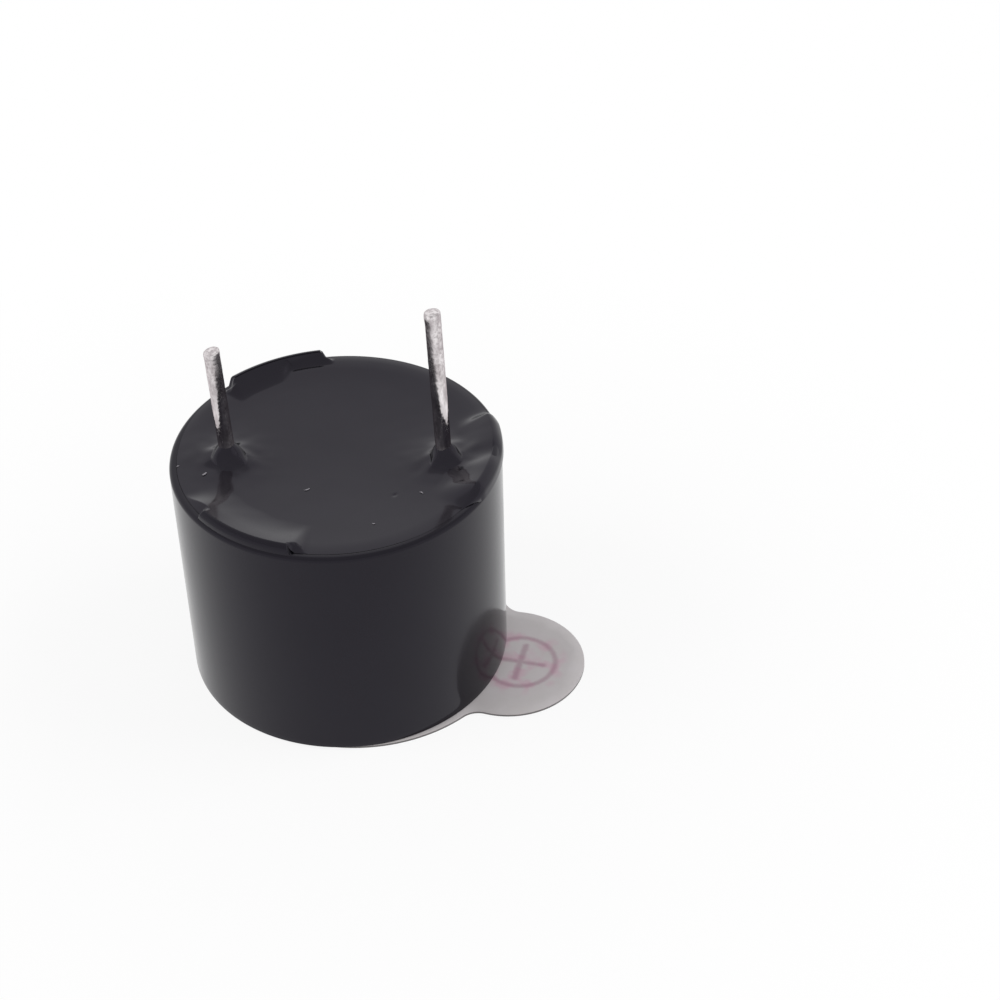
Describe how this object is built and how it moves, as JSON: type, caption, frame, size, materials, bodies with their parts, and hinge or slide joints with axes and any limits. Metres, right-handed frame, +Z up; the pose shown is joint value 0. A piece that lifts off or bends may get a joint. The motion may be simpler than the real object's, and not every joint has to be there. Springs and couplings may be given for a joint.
{
  "type": "magnetic buzzer",
  "caption": "Round black moulded buzzer with its own drive circuit, resin-filled back, a long and a short pin, and a peel-off washing seal with a pull tab.",
  "frame": {"origin": "on the axis of the case, at the underside of the washing seal, where the part stands", "axes": "+Z up along the axis of the case, from the sound face to the terminals; +X towards the long, positive terminal"},
  "size_m": [0.015, 0.012, 0.0154],
  "materials": {
    "case_plastic": "black moulded thermoplastic, satin gloss",
    "seal_film": "translucent white printed film",
    "spring_steel": "rolled, bright",
    "soft_iron": "stamped, zinc plated",
    "ring_plastic": "black moulded",
    "ferrite": "pressed ferrite, dull",
    "enamelled_copper": "enamelled copper wire",
    "board_laminate": "paper laminate, plain",
    "copper_foil": "etched foil",
    "chip_moulding": "black moulding compound",
    "tinned_metal": "tin plated",
    "solder": "reflowed solder",
    "tinned_pin": "hot-dipped tin, dull and slightly rough",
    "potting_resin": "cast black resin, glossy"
  },
  "bodies": {
    "root": {"case": "case_plastic", "washing_seal": "seal_film", "diaphragm": "spring_steel", "diaphragm_disc": "soft_iron", "diaphragm_ring": "ring_plastic", "ring_magnet": "ferrite", "yoke_plate": "soft_iron", "iron_core": "soft_iron", "coil_winding": "enamelled_copper", "coil_wire_start": "enamelled_copper", "coil_wire_tap": "enamelled_copper", "coil_wire_end": "enamelled_copper", "circuit_board": "board_laminate", "copper_tracks": "copper_foil", "transistor_body": "chip_moulding", "transistor_legs": "tinned_metal", "resistor_body": "chip_moulding", "resistor_ends": "tinned_metal", "diode_body": "chip_moulding", "diode_legs": "tinned_metal", "solder_positive": "solder", "solder_negative": "solder", "solder_wire_start": "solder", "solder_wire_tap": "solder", "solder_wire_end": "solder", "positive_terminal": "tinned_pin", "negative_terminal": "tinned_pin", "potting_resin": "potting_resin"}
  },
  "joints": []
}
